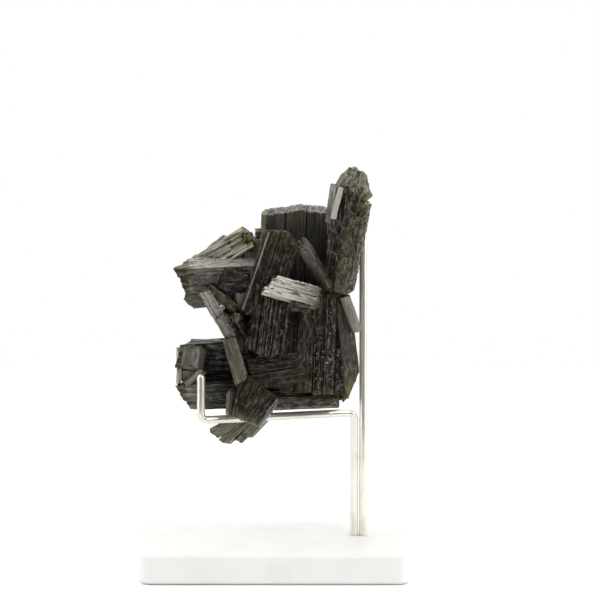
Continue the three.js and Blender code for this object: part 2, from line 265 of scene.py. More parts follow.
# %% The shape of the ends
RIM_BEVEL = 0.12
CAP_RINGS = np.array([0.94, 0.85, 0.74, 0.62, 0.49, 0.36, 0.23, 0.1])


def end_rise(side, back, slope, roof=0.0, peak=0.0):
    """How far an end stands out: its two slopes, less the fall on both sides of the roof's ridge."""
    to_side, to_back = (math.tan(math.radians(angle)) for angle in slope)
    return side * to_side + back * to_back - np.abs(side - peak) * math.tan(math.radians(roof))


def end_relief(side, back, crystal, own):
    """How far an end has broken back: a throw of chance for each plate, and another for each block of a plate."""
    plate = np.floor(side / crystal.lath + 0.4 * np.sin(back * 0.8 + own) + 40)
    plate_back = chance(own * 2.9 + plate)
    block = np.floor(back / 1.7 + plate_back * 3 + 40)
    return crystal.jagged * (0.6 * plate_back + 0.4 * chance(own * 4.3 + plate * 1.7 + block * 2.3))


print("rows on both ends together:", 2 * len(CAP_RINGS), "plus two poles")

# %% [markdown]
# Now one whole blade. Its local frame has its length along the third axis; the first two run to its side and to
# its back. The same steps in the same order as in the solid model give the same places: shift the blade beside
# its neighbours, widen it towards a flared tip, slope the ends, then shorten it by its uneven ends.

# %% One blade
BLADE_OVERLAP = 1.25
THINNEST_BLADE = 0.86
BLADE_STAGGER = 0.08
MOSTLY_FORWARD = 0.8


def own_axes(start, end, turn):
    """Side, back and length as three rows: side is square to the length and to what is behind, then all turn."""
    axis = (end - start) / np.linalg.norm(end - start)
    behind = np.array([0.0, 0, 1]) if abs(axis[1]) > MOSTLY_FORWARD else np.array([0.0, 1, 0])
    side = np.cross(behind, axis)
    side /= np.linalg.norm(side)
    back = np.cross(axis, side)
    cos, sin = math.cos(math.radians(turn)), math.sin(math.radians(turn))
    return np.array([side * cos + back * sin, back * cos - side * sin, axis])


def blade_section(crystal, own, number):
    """How wide and deep a blade is, and how far it stands to the side and back of the crystal's middle."""
    if crystal.blades == 1:
        return crystal.wide, crystal.deep, np.array([0, (chance(own + 5) - 0.5) * crystal.deep * BLADE_STAGGER])
    share = crystal.wide / crystal.blades
    deep = crystal.deep * (1 - (1 - THINNEST_BLADE) * chance(own))
    shift = np.array([
        (number - (crystal.blades - 1) / 2) * share,
        (chance(own + 5) - 0.5) * crystal.deep * BLADE_STAGGER,
    ])
    return share * BLADE_OVERLAP, deep, shift


def blade_grid(crystal, seed, number):
    """A closed grid of points for one blade, from pole to pole, and what its material has to know.

    A side row is the section moved inwards by the insets, shifted and flared; its height runs evenly from the
    foot's height to the tip's. A cap ring is the rim drawn towards the middle, at the end's own height there."""
    own = seed * 10 + number
    wide, deep, shift = blade_section(crystal, own, number)
    start, end = place(crystal.start), place(crystal.end)
    length = np.linalg.norm(end - start)
    columns = side_columns(crystal, wide, deep, own)
    share, stretch, stretches = break_rows(length, crystal.step, own)
    inset = lath_insets(crystal, columns, share * length, stretch, stretches, own)
    flare = 1 + share * (crystal.flare - 1)
    sides = columns["spot"] + columns["inward"] * inset[:, :, None] + shift
    sides *= flare[:, None, None]

    def foot_height(flat):
        side, back = flat[..., 0], flat[..., 1]
        return end_rise(side, back, crystal.foot) + end_relief(side, back, crystal, own + 0.3)

    def tip_height(flat):
        side, back = flat[..., 0], flat[..., 1]
        rise = end_rise(side, back, crystal.tip, crystal.roof, crystal.peak)
        return length + rise - end_relief(side, back, crystal, own + 0.6)

    low, high = foot_height(sides[0]) + RIM_BEVEL, tip_height(sides[-1]) - RIM_BEVEL
    side_heights = low + share[:, None] * (high - low)
    rings = np.concatenate([[1 - 2 * RIM_BEVEL / min(wide, deep)], CAP_RINGS])[:, None, None]
    foot_caps = shift + (sides[0] - shift) * rings[::-1]
    tip_caps = shift * crystal.flare + (sides[-1] - shift * crystal.flare) * rings
    flat = np.concatenate([foot_caps, sides, tip_caps])
    height = np.concatenate([foot_height(foot_caps), side_heights, tip_height(tip_caps)])
    poles = np.array([[*shift, foot_height(shift)], [*(shift * crystal.flare), tip_height(shift * crystal.flare)]])
    local = np.concatenate([flat, height[..., None]], axis=2)
    lower, upper = crystal.uneven * chance(own + 1), crystal.uneven * chance(own + 2)
    for heights in (local, poles):
        heights[..., 2] = heights[..., 2] * (length - lower - upper) / length + lower
    axes = own_axes(start, end, crystal.turn)
    looks = blade_looks(crystal, columns, local, len(foot_caps), len(sides), length, axes, own)
    return start + local @ axes, start + poles @ axes, looks


# %% [markdown]
# The material can't know that a face is an end, or that an edge is thin, so the blade says it. It carries named
# values on its points: where it is an end face, how olive, how granular and how dark it is, and how much painted
# light, painted shade and painted glints it gets. It also carries a map of the distance round it and along it,
# so that fine striae can follow each crystal however it leans.


# %% What a blade tells its material
def towards(normal, way):
    """How far a face looks a given way, 0 to 1: the cosine between them, from a third upwards."""
    cosine = normal @ np.array(way, float) / np.linalg.norm(way)
    return np.clip((cosine - 0.35) / 0.4, 0, 1)


def blade_looks(crystal, columns, local, foot_rings, side_rows, length, axes, own):
    """Named values on the rows and columns of a blade, and its map in millimetres round and along."""
    rows, count = local.shape[:2]
    row = np.arange(rows)[:, None]
    is_foot, is_tip = row < foot_rings, row >= foot_rings + side_rows
    is_end = (is_foot | is_tip) & np.ones((1, count), bool)
    outward = -(columns["inward"] @ axes[:2])
    normal = np.where(is_tip[..., None], axes[2], np.where(is_foot[..., None], -axes[2], outward[None]))
    along = np.clip(local[..., 2], 0, length)
    olive = crystal.olive[0] * np.exp(-along / crystal.reach)
    olive += crystal.olive[1] * np.exp(-(length - along) / crystal.reach)
    olive += 0.08 * np.exp(-columns["corner"] / 0.2)
    dark = 0.5 * chance(own * 1.9 + columns["lath"]) + 0.5 * chance(own * 1.1 + columns["lath"] // LATHS_TO_A_PLATE)
    # painted light: less on ends and away from the tip, none right at it, most where faces face the light
    pale = crystal.pale * np.where(is_end, 0.2, 1) * np.exp(-(length - along) / crystal.pale_reach)
    pale = pale * (1 - np.exp(-(length - along) / crystal.pale_fade))
    if crystal.pale_way:
        pale = pale * (0.28 + 0.72 * towards(normal, crystal.pale_way))
    values = {
        "end_face": is_end.astype(float),
        "olive": np.clip(olive, 0, 1),
        "granular": crystal.granular * towards(normal, crystal.rough),
        "tone": np.broadcast_to(dark, is_end.shape),
        "pale": pale,
        "cracks": np.full(is_end.shape, crystal.cracks),
        "painted_shade": np.full(is_end.shape, crystal.painted_shade),
        "painted_glints": np.full(is_end.shape, crystal.painted_glints),
    }
    return values, columns["walked"] + own * 3.7, columns["round"], foot_rings, side_rows


# %% [markdown]
# The grid becomes a mesh. Its faces are found by counting: a point's number is its row times the columns plus its
# column, and the last column is joined to the first, so the tube has no seam, while the two poles close its ends.


# %% From a grid to a closed mesh
def closed_faces(rows, count):
    """Squares between neighbouring rows and columns, and a fan of triangles from each pole, all facing out."""
    row, column = np.meshgrid(np.arange(rows - 1), np.arange(count), indexing="ij")
    following = (column + 1) % count
    here, above = row * count, (row + 1) * count
    squares = np.stack([here + column, here + following, above + following, above + column], -1).reshape(-1, 4)
    edge = np.arange(count)
    turned = (edge + 1) % count
    foot = np.stack([np.full(count, rows * count), turned, edge], -1)
    last = (rows - 1) * count
    tip = np.stack([last + edge, last + turned, np.full(count, rows * count + 1)], -1)
    return squares, np.concatenate([foot, tip])


def blade_map(local, looks, rows, count):
    """The map's corners for every face: round and along on the sides, side and back on the ends."""
    values, walked, way_round, foot_rings, side_rows = looks
    u = np.append(walked, walked[0] + way_round)
    v = local[..., 2]
    row = np.arange(rows - 1)
    on_side = ((row >= foot_rings) & (row < foot_rings + side_rows - 1))[:, None, None]
    wrap = (np.arange(count) + 1) % count
    left, right = np.broadcast_to(u[:-1], (rows - 1, count)), np.broadcast_to(u[1:], (rows - 1, count))
    sides = np.stack([
        np.stack([left, v[:-1]], -1), np.stack([right, v[:-1][:, wrap]], -1),
        np.stack([right, v[1:][:, wrap]], -1), np.stack([left, v[1:]], -1),
    ], 2)
    flat = local[..., :2] + 60
    ends = np.stack([flat[:-1], flat[:-1][:, wrap], flat[1:][:, wrap], flat[1:]], 2)
    return np.where(on_side[..., None], sides, ends).reshape(-1, 2), flat


def blade_object(name, crystal, seed, number):
    """One blade as a mesh object in metres, with its values and its map."""
    points, poles, looks = blade_grid(crystal, seed, number)
    rows, count = points.shape[:2]
    squares, fans = closed_faces(rows, count)
    mesh = bpy.data.meshes.new(name)
    vertices = np.concatenate([points.reshape(-1, 3), poles]) * MM
    mesh.from_pydata(vertices, [], squares.tolist() + fans.tolist())
    for key, value in looks[0].items():
        flat = np.concatenate([np.asarray(value, float).ravel(), np.full(2, np.asarray(value)[0, 0])])
        mesh.attributes.new(key, "FLOAT", "POINT").data.foreach_set("value", flat)
    axes = own_axes(place(crystal.start), place(crystal.end), crystal.turn)
    local = (points - place(crystal.start)) @ axes.T
    square_map, flat = blade_map(local, looks, rows, count)
    middle = flat.mean((0, 1))
    edge = np.arange(count)
    turned = (edge + 1) % count
    centre = np.broadcast_to(middle, (count, 2))
    foot_map = np.stack([centre, flat[0][turned], flat[0][edge]], 1).reshape(-1, 2)
    tip_map = np.stack([flat[-1][edge], flat[-1][turned], centre], 1).reshape(-1, 2)
    grain = mesh.uv_layers.new(name="grain")
    grain.data.foreach_set("uv", np.concatenate([square_map, foot_map, tip_map]).ravel())
    return bpy.data.objects.new(name, mesh)


# %% [markdown]
# Crystals that grew together are one body, so their blades are united with a Boolean modifier. It cuts away what
# lies inside the others, which leaves one clean skin with crisp seams where crystals cross. The manifold solver is
# quick and exact on closed meshes. The result is kept as a plain mesh, and the blades are thrown away.

# %% Growing the blades together
grown = []


def grow(name, *crystals):
    """Joins all blades of the crystals in one closed surface. The crystals are numbered on from the last call."""
    first = len(grown) + 1
    grown.extend(crystals)
    blades = [
        blade_object(f"{name}_{seed}_{number}", crystal, seed, number)
        for seed, crystal in enumerate(crystals, first)
        for number in range(crystal.blades)
    ]
    base, others = blades[0], bpy.data.collections.new(name)
    bpy.context.scene.collection.objects.link(base)
    for blade in blades[1:]:
        others.objects.link(blade)
    union = base.modifiers.new("grow_together", "BOOLEAN")
    union.operation = "UNION"
    union.operand_type = "COLLECTION"
    union.collection = others
    union.solver = "MANIFOLD"
    shape = base.evaluated_get(bpy.context.evaluated_depsgraph_get())
    mesh = bpy.data.meshes.new_from_object(shape)
    mesh.name = name
    mesh.shade_flat()
    for blade in blades:
        bpy.data.meshes.remove(blade.data)
    bpy.data.collections.remove(others)
    piece = bpy.data.objects.new(name, mesh)
    bpy.context.scene.collection.objects.link(piece)
    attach(piece, "root")
    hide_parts("epidote_cluster")
    triangles = sum(len(face.vertices) - 2 for face in mesh.polygons)
    print(f"{name}: {len(blades)} blades, {triangles} triangles")
    return piece


# %% [markdown]
# The tall crystal stands at the right and reaches highest. Its front is smooth and dark, its right side is rough
# and granular, and its roofed tip turns olive at the right. A slimmer neighbour stands behind it, and a blade
# whose bright faces are painted light, as highlights, leans on its left.

# %% The tall crystal
tall_crystals = grow(
    "tall_crystals",
    Crystal((-9.8, 62, -7), (-1.3, 107.6, -8.5), 8, 10.5, turn=-10, flare=1.18, tip=(-6, 19), roof=26, peak=-1,
            lath=0.6, relief=0.05, jagged=1.2, rough=(1, -0.2, 0.3), granular=0.6, olive=(0.1, 0.3)),
    Crystal((-4.6, 73.6, -10.5), (0.1, 96.4, -11.2), 6.2, 8, turn=-12, tip=(24, 0), roof=10, jagged=1.0,
            lumps=0.3, step=0.8, rough=(0.3, -1, 0.1), granular=0.7, olive=(0.1, 0.3), reach=4),
    Crystal((-8.8, 93, -11), (-7, 104.9, -11.4), 2.4, 4, turn=16, section="roof", tip=(8, 0),
            relief=0.04, pale=0.5, pale_reach=6, olive=(0.1, 0.1)),
)

# %% [markdown]
# The wide crystal at the top is a bundle of five upright blades with a flat, light end. Its left edge is thin
# enough to glow olive, and a small knob grows there.

# %% The wide upright crystal
upright_crystals = grow(
    "upright_crystals",
    Crystal((-19.7, 70, 2), (-18.8, 98.6, 2), 18.8, 15, tip=(4, 0), roof=7, peak=1.5, blades=3, uneven=0.4,
            lath=0.4, glint=0.25, granular=0.3, pale=0.08, olive=(0, 0.2)),
    Crystal((-25, 90.5, -3), (-31.2, 90.3, -3), 3, 3, section="hexagon", olive=(0.3, 0.5), reach=5),
)

# %% [markdown]
# At the upper left a wedge of parallel crystals leans up to the right, with a bright olive end. Its sides carry
# painted light as highlights, broken by dark cracks. Upright ends stand at its right.

# %% The wedge at the upper left
wedge_crystals = grow(
    "wedge_crystals",
    Crystal((-45, 80.4, 0), (-31, 89, -1), 7, 10, turn=-24, tip=(-6, 0), blades=4, uneven=1.4,
            lath=0.5, relief=0.3, glint=0.5, lumps=0.1, pale=0.76, cracks=0.8, olive=(0.1, 1.2), reach=4.6),
    Crystal((-46.4, 81.3, 3), (-38.4, 88.1, 2), 4, 8, turn=-24, tip=(-20, 0), blades=2, uneven=1.2,
            lath=0.5, relief=0.3, glint=0.5, lumps=0.1, pale=0.7, cracks=0.8, olive=(0.1, 0.8), reach=3),
    Crystal((-31, 74, -2), (-31.4, 89.8, -2), 6.8, 8, turn=8, tip=(-24, 0), blades=2, uneven=0.6,
            relief=0.1, pale=0.3, olive=(0, 0.9), reach=3),
)

# %% [markdown]
# The left slab lies nearly flat with a pitted top, made light by painted light from above. A stub lies under it,
# and a slender pair leans in front.

# %% The left slab
left_crystals = grow(
    "left_crystals",
    Crystal((-29, 79.2, -5), (-50.8, 78.3, -6), 7.8, 15, turn=-9, section="slab", tip=(22, -30), blades=3,
            uneven=0.8, granular=1.0, relief=0.12, lumps=0.22, step=0.9, pale=0.7, pale_way=(0, -0.1, 1),
            pale_reach=26, cracks=0.9, olive=(0, 0.25)),
    Crystal((-36, 73, -5), (-51.8, 71, -6), 7, 9, turn=5, section="hexagon", tip=(6, -10), roof=26,
            jagged=0.3, pale=0.2, olive=(0, 0.3)),
    Crystal((-40.8, 64, -13), (-46.4, 73.6, -15), 3.8, 3.2, turn=-12, section="roof", tip=(-10, 0), roof=24,
            pale=0.5, cracks=0.6, relief=0.1, glint=0.4, lumps=0.25, step=0.8, olive=(0.2, 0.2)),
    Crystal((-36, 67.4, -11), (-45.2, 74.2, -13), 2.6, 3, turn=14, tip=(10, 0), blades=2, uneven=0.6,
            relief=0.12, olive=(0.15, 0.15), reach=8),
)

# %% [markdown]
# A slender crystal hangs in front of the lower left. It has broken once and healed, so it is made in two pieces.

# %% The hanging crystal
hanging_crystal = grow(
    "hanging_crystal",
    Crystal((-37.8, 59, -14.5), (-41.8, 66, -15.5), 3.2, 3.4, turn=20, section="hexagon", tip=(14, 0),
            relief=0.08, glint=0.4, pale=0.2),
    Crystal((-34.8, 46, -16.5), (-38.7, 59.4, -15.5), 3.9, 3, turn=-10, section="slab", foot=(14, 0),
            relief=0.04, glint=0.1, pale=0.1, olive=(0.2, 0.1), reach=9),
)

# %% [markdown]
# The middle is ruled by a smooth slab that leans to the left, with a lobe of fine laths below it. Across it lies
# a short prism with coarse, broken laths, made the brightest crystal of the specimen by painted highlights, and
# a narrow crystal leans between the slab and the tall crystal.

# %% The central crystals
central_crystals = grow(
    "central_crystals",
    Crystal((-30.2, 66, -11), (-21.8, 92, -11), 9.6, 8, turn=-6, section="slab", tip=(-13, -6), roof=28, peak=1.2,
            blades=2, uneven=0.4, lath=0.6, relief=0.06, glint=0.15, olive=(0.1, 0.3)),
    Crystal((-25.2, 76, -11), (-28.4, 53, -12), 10.4, 9, turn=-6, roof=24, blades=3, uneven=1.0,
            lath=0.4, relief=0.1, glint=0.7, jagged=1.0),
    Crystal((-28.2, 75.4, -17.5), (-10.6, 70.4, -15.2), 5.6, 4.2, turn=-26, section="slab", foot=(-29, 0),
            tip=(-7, 20), flare=1.02, blades=4, uneven=1.3, lath=0.55, relief=0.2, glint=0.3, lumps=0.16, step=1.1,
            jagged=1.2, pale=1.1, pale_fade=7, cracks=0.95, olive=(0.1, 0.2)),
    Crystal((-8.8, 73.8, -13), (-16.8, 87, -13.4), 3.8, 3.6, turn=12, section="roof", tip=(10, 40), flare=1.2,
            relief=0.08, lumps=0.1, rough=(0, -1, 0.4), granular=0.25, pale=0.3, pale_reach=4, painted_shade=0.2),
)

# %% [markdown]
# The lower right is a wall of dark upright crystals with long striae and white specks of painted glints. Its
# right corner is cut and olive, with painted light on its faces that look right, and a small crystal whose bright
# faces are painted light sticks out beside the stem.

# %% The striated crystals at the lower right
striated_crystals = grow(
    "striated_crystals",
    Crystal((-18.4, 43, -6), (-17, 72, -5), 10, 14, turn=-6, blades=2, uneven=1.2, lath=0.4, glint=0.2),
    Crystal((-9.6, 42.6, -6), (-8.6, 74, -6), 9.4, 15, turn=3, blades=3, uneven=1, lath=0.4, glint=0.25,
            painted_glints=1.0),
    Crystal((-3, 45.2, -7), (-6.2, 71, -6.5), 6, 12, turn=14, foot=(60, 0), uneven=0.6,
            relief=0.08, rough=(1, 0, 0), granular=0.6, olive=(0.6, 0.1), pale=0.25, pale_way=(1, 0.1, 0)),
    Crystal((-4.3, 71.8, -13.6), (-0.4, 60.8, -13.6), 2.7, 2.8, turn=-28, tip=(8, 0), roof=24,
            relief=0.06, pale=0.3, olive=(0.1, 0.9), reach=2),
)

# %% [markdown]
# The bottom is a lying bundle that ends at the left in rough faces, lightened by painted light, with a few thin
# crystals on them. Two crystals set deep in it get painted shade.

# %% The lying crystals
lying_crystals = grow(
    "lying_crystals",
    Crystal((-5, 43, -1), (-51.2, 41.8, -1.5), 7.4, 19, turn=7, foot=(-24, 0), tip=(30, -14), blades=3, uneven=0.6,
            lath=0.45, relief=0.12, glint=0.2, pale=0.6, pale_reach=3, olive=(0.3, 0.3)),
    Crystal((-16, 50.2, 3), (-51, 52, 4), 11, 13, section="slab", blades=2, uneven=1, relief=0.04, glint=0.12,
            painted_shade=0.05),
    Crystal((-45.6, 50.6, -1), (-52.4, 51.2, -1), 10.4, 13, turn=-6, tip=(10, -30), roof=20, blades=2, uneven=0.8,
            relief=0.2, glint=0.4, lumps=0.2, step=1.2, rough=(-1, -0.4, 0.4), granular=0.5, pale=0.4,
            olive=(0, 0.2)),
    Crystal((-30, 58.4, -2), (-51.4, 56.8, -2), 2.2, 9, turn=2, section="slab", tip=(20, -26),
            lumps=0.15, olive=(0.05, 0.15), reach=9),
    Crystal((-51.6, 44.6, -8.4), (-46, 49.8, -9.4), 2.4, 3, turn=-10, section="roof", tip=(20, 0), pale=0.3,
            olive=(0.1, 0.3)),
    Crystal((-53.7, 45.2, -5), (-53.7, 56.6, -4), 1.3, 4, turn=10, tip=(10, 0), pale=0.7, olive=(0.2, 0.4)),
    Crystal((-15, 51, -8.6), (-33.4, 48, -9.4), 9.4, 9, turn=10, blades=2, uneven=1, relief=0.04, glint=0.05,
            painted_shade=0.25),
)

# %% [markdown]
# A stout prism stands in front of the arm with a light line along its lower edge, and a jagged bundle hangs
# behind the arm.

# %% The stout prism and the jagged bundle
stout_crystals = grow(
    "stout_crystals",
    Crystal((-34, 34, -15.5), (-29, 45.4, -13), 8.6, 7.6, turn=-7, tip=(-14, 0), flare=1.5,
            blades=2, uneven=0.3, glint=0.08, relief=0.05, olive=(0.5, 0.1), reach=1),
    Crystal((-37.9, 35.8, -15), (-37.4, 43.6, -13), 4.4, 6, turn=-34, section="roof", foot=(-20, 0), tip=(46, 0),
            pale=0.15),
    Crystal((-30, 38.4, -1), (-43.6, 30.4, -1.4), 3.4, 6, tip=(20, 0), olive=(0.2, 0.4), reach=6, pale=0.22),
    Crystal((-29, 38, 0), (-40.4, 27.8, 0), 3.4, 7, turn=10, tip=(24, 0), olive=(0.2, 0.4), reach=6, pale=0.22),
    Crystal((-27, 37.6, 1), (-36.4, 28.8, 1), 3, 7, turn=-8, tip=(20, 0), olive=(0.2, 0.4), reach=6, pale=0.22),
    Crystal((-26.4, 37.4, 0), (-34, 29.6, 0), 3.6, 7, turn=8, tip=(30, 0), olive=(0.2, 0.4), reach=6, pale=0.22),
)

# %% [markdown]
# The hollow beside the central slab is filled with small crystals that cross each other. One of them gets
# painted shade.

# %% The small crossed crystals
hollow_crystals = grow(
    "hollow_crystals",
    Crystal((-28, 64, -1), (-41, 67.6, -3), 7.4, 8, turn=10, blades=2, uneven=0.6),
    Crystal((-34, 65.2, -7), (-36.7, 65.2, -15.6), 3, 3, section="hexagon"),
    Crystal((-31, 61, -9), (-41, 67, -9), 3.4, 4, turn=20),
    Crystal((-38, 59.4, -9), (-33.6, 70, -10), 2.8, 4, turn=-14),
    Crystal((-34, 66, -9), (-34.6, 74, -11), 4.4, 4, turn=12, blades=2, uneven=0.8, pale=0.2),
    Crystal((-29, 78, -10), (-42.4, 76.8, -13.4), 5.4, 4, turn=4, section="slab", tip=(-16, 20), blades=2,
            uneven=1.5, relief=0.04, glint=0.04, painted_shade=0.5),
    Crystal((-31.4, 57, -10), (-37, 66, -12), 2.4, 3, turn=-20, section="roof", olive=(0.4, 0.4)),
)

# %% [markdown]
# The back can't be seen from the front. It is closed by a few broad crystals of the same kind.

# %% The crystals of the back
back_crystals = grow(
    "back_crystals",
    Crystal((-24, 42, 7), (-14, 88, 8), 15, 11, turn=10, blades=2, uneven=3, relief=0.2),
    Crystal((-12, 58, 6), (-44, 80, 5), 9, 11, turn=12, blades=2, uneven=2, relief=0.2),
    Crystal((-9, 52, 3), (-8, 84, 3), 8, 9, turn=-12, uneven=2, relief=0.2),
    Crystal((-42, 45, 9), (-12, 49, 12), 8, 9, turn=16, blades=2, uneven=2, relief=0.2),
)

# %% [markdown]
# A few slim crystals finish the front: the left edge of the central slab, bright with painted light, a bundle of
# needles at its right side, and a dark crystal that closes the hollow behind the hanging one.

# %% Slim crystals of the front
slim_crystals = grow(
    "slim_crystals",
    Crystal((-25.2, 70, -12.6), (-20, 87, -12.6), 4, 5.6, turn=6, tip=(20, 0), lath=0.35, relief=0.1, glint=0.7,
            uneven=1.0),
    Crystal((-34.6, 55, -3), (-36.4, 70, -4), 6, 8, turn=12, blades=2, uneven=1.0),
    Crystal((-28.6, 72, -1), (-27.8, 97, -2), 1.8, 8, turn=-8, pale=0.15, olive=(0.2, 0.35), reach=40),
    Crystal((-0.8, 100.4, -11.6), (3.2, 103.4, -12.2), 4.8, 5, turn=20, section="hexagon", roof=14,
            lumps=0.1, olive=(0.3, 0.6), reach=3),
    Crystal((-25.5, 39.6, -10.6), (-5.6, 40.3, -10.2), 3.4, 2.6, turn=-30, section="slab", granular=0.6,
            rough=(0, -1, 0.4)),
    Crystal((-0.8, 90, -10.6), (1.9, 100.4, -11), 4.4, 7, turn=-6, tip=(-12, 0), roof=16, jagged=1.0, lumps=0.3,
            step=0.8, rough=(0.3, -1, 0.1), granular=0.7, olive=(0.2, 0.5), reach=4),
    Crystal((-5.1, 72.6, -11.6), (-3, 84.2, -12.2), 5.6, 6, turn=-16, tip=(14, 0), roof=12, jagged=1.0, lumps=0.3,
            step=0.8, rough=(0.3, -1, 0.1), granular=0.7, olive=(0.2, 0.3), reach=4),
    Crystal((-7.6, 94.4, -13), (-5.2, 104.3, -13.4), 1.7, 2.4, turn=-10, section="slab", relief=0.04, pale=0.8,
            olive=(0, 0)),
    Crystal((-49.8, 50.6, -6.8), (-48.9, 57, -6.6), 7.4, 4, turn=-22, tip=(10, -20), roof=14, lath=1.4,
            relief=0.04, glint=0.06, lumps=0.05, pale=0.14),
    Crystal((-20.6, 68.9, -18.6), (-15, 67.9, -17.6), 2.8, 2.4, turn=10, relief=0.08, olive=(0.12, 0.12),
            painted_shade=0.3),
    Crystal((-34.6, 67.4, -14.4), (-26.6, 91, -15), 0.35, 0.6, turn=30, section="slab", relief=0.02, pale=0.4),
)
print(len(grown), "crystals in all")

# %% [markdown]
# The stand is two round rods. A rod is a circle carried along a path of straight lines and rounded bends. Both
# rods lie in an upright plane, so one fixed direction, square to that plane, keeps the circle from twisting. The
# top is closed by shrinking circles that follow a quarter turn, which makes it round.

# %% The stand's path
ROD_SPACING = 2.7
ROD_SINKS = 7
ARM_HEIGHT = 36.8
ARM_REACH = 47
ARM_FORWARD = 13.4
HOOK_TOP = 47.3
BEND_RADIUS = 2.3
BACK_ROD_TOP = 96
BEND_STEPS = 14


def bent_path(points):
    """Straight stretches joined by rounded bends: each bend is a quadratic curve with the corner as its handle."""
    path = [points[0]]
    share = np.linspace(0, 1, BEND_STEPS)[:, None]
    for before, corner, after in zip(points, points[1:], points[2:]):
        enter = corner + (before - corner) / np.linalg.norm(before - corner) * BEND_RADIUS
        leave = corner + (after - corner) / np.linalg.norm(after - corner) * BEND_RADIUS
        path.extend((1 - share) ** 2 * enter + 2 * share * (1 - share) * corner + share ** 2 * leave)
    return np.array([*path, points[-1]])


stem = -ROD_SPACING / 2
sunk = np.array([0, 0, ROD_SINKS])
arm_corner = place((stem, ARM_HEIGHT, 0))
arm_path = bent_path([
    place((stem, 0, 0)) - sunk,
    arm_corner,
    arm_corner + np.array([-ARM_REACH - stem, -ARM_FORWARD, 0]),
    place((-ARM_REACH, HOOK_TOP, -ARM_FORWARD)),
])
back_path = bent_path([place((-stem, 0, 0)) - sunk, place((-stem, BACK_ROD_TOP, 0))])
print("arm path of", len(arm_path), "points, back path of", len(back_path))

# %% Round rods
ROD_SIDES = 40
DOME_RINGS = 8


def rod_piece(name, path, square):
    """A tube of circles square to the path: radius times cosine along one fixed way plus sine along the other.

    The last circles shrink by the cosine of a quarter turn and rise by its sine, and close in a pole."""
    heading = np.gradient(path, axis=0)
    heading /= np.linalg.norm(heading, axis=1, keepdims=True)
    heading[-1] = (0, 0, 1)
    quarter = np.linspace(0, math.pi / 2, DOME_RINGS + 1)[1:-1, None]
    centres = np.concatenate([path, path[-1] + ROD_RADIUS * np.sin(quarter) * heading[-1]])
    radii = np.concatenate([np.full((len(path), 1), ROD_RADIUS), ROD_RADIUS * np.cos(quarter)])
    ways = np.concatenate([heading, np.tile(heading[-1], (len(quarter), 1))])
    other = np.cross(ways, square)
    angle = np.arange(ROD_SIDES) / ROD_SIDES * 2 * math.pi
    ring = square * np.cos(angle)[:, None] + other[:, None] * np.sin(angle)[None, :, None]
    points = centres[:, None] + radii[:, None] * ring
    poles = np.array([path[0], path[-1] + ROD_RADIUS * heading[-1]])
    squares, fans = closed_faces(len(points), ROD_SIDES)
    mesh = bpy.data.meshes.new(name)
    mesh.from_pydata(np.concatenate([points.reshape(-1, 3), poles]) * MM, [], squares.tolist() + fans.tolist())
    mesh.shade_smooth()
    mesh.set_sharp_from_angle(angle=math.radians(50))
    walked = np.concatenate([[0], np.cumsum(np.linalg.norm(np.diff(centres, axis=0), axis=1))])
    drawn = mesh.uv_layers.new(name="grain")
    corner = np.zeros(len(mesh.loops), int)
    mesh.loops.foreach_get("vertex_index", corner)
    walked = np.append(np.repeat(walked, ROD_SIDES), [0, walked[-1]])
    turned = np.append(np.tile(angle * ROD_RADIUS, len(centres)), [0, 0])
    drawn.data.foreach_set("uv", np.stack([turned[corner], walked[corner]], 1).ravel())
    piece = bpy.data.objects.new(name, mesh)
    bpy.context.scene.collection.objects.link(piece)
    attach(piece, "root")
    return piece


arm_way = arm_path[-1] - arm_corner
arm_square = np.array([arm_way[1], -arm_way[0], 0]) / np.hypot(arm_way[0], arm_way[1])
polished_arm = rod_piece("polished_arm", arm_path, arm_square)
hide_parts("arm_rod")
polished_rest = rod_piece("polished_rest", back_path, np.array([1.0, 0, 0]))
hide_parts("back_rod")
print("rods:", [len(piece.data.polygons) for piece in (polished_arm, polished_rest)], "faces")

# %% [markdown]
# Materials are built from nodes. Two small helpers keep the cells short: one adds a node and sets its options,
# the other feeds its inputs, either from another node or with a plain number.


# %% Helpers for node trees
def add_node(tree, kind, inputs=None, **options):
    """Adds a node, sets its options, then links or sets each named or numbered input."""
    node = tree.nodes.new(kind)
    for option, value in options.items():
        setattr(node, option, value)
    for key, value in (inputs or {}).items():
        if isinstance(value, bpy.types.NodeSocket):
            tree.links.new(value, node.inputs[key])
        else:
            node.inputs[key].default_value = value
    return node


def math_value(tree, operation, *values, clamp=False):
    """The result of one Math node."""
    node = add_node(tree, "ShaderNodeMath", dict(enumerate(values)), operation=operation, use_clamp=clamp)
    return node.outputs[0]


def mixed_colour(tree, share, first, second):
    """A colour between two, by a share that is a socket or a number."""
    node = add_node(tree, "ShaderNodeMix", {0: share, 6: first, 7: second}, data_type="RGBA")
    return node.outputs[2]


def new_group(name, inputs, outputs):
    """A shader node group with named inputs and outputs, and its two end nodes."""
    tree = bpy.data.node_groups.new(name, "ShaderNodeTree")
    for label, kind in inputs.items():
        tree.interface.new_socket(label, in_out="INPUT", socket_type=f"NodeSocket{kind}")
    for label in outputs:
        tree.interface.new_socket(label, in_out="OUTPUT", socket_type="NodeSocketFloat")
    return tree, tree.nodes.new("NodeGroupInput").outputs, tree.nodes.new("NodeGroupOutput").inputs


print("node helpers are ready")

# %% [markdown]
# Two effects are shared. Long streaks are fine parallel lines: striae on a crystal, drawing marks on a rod. A
# noise squeezed across and stretched along the piece's own map gives them. Fine grain is an even, speckled noise:
# granular crystal faces, and the faint unevenness of a painted block.

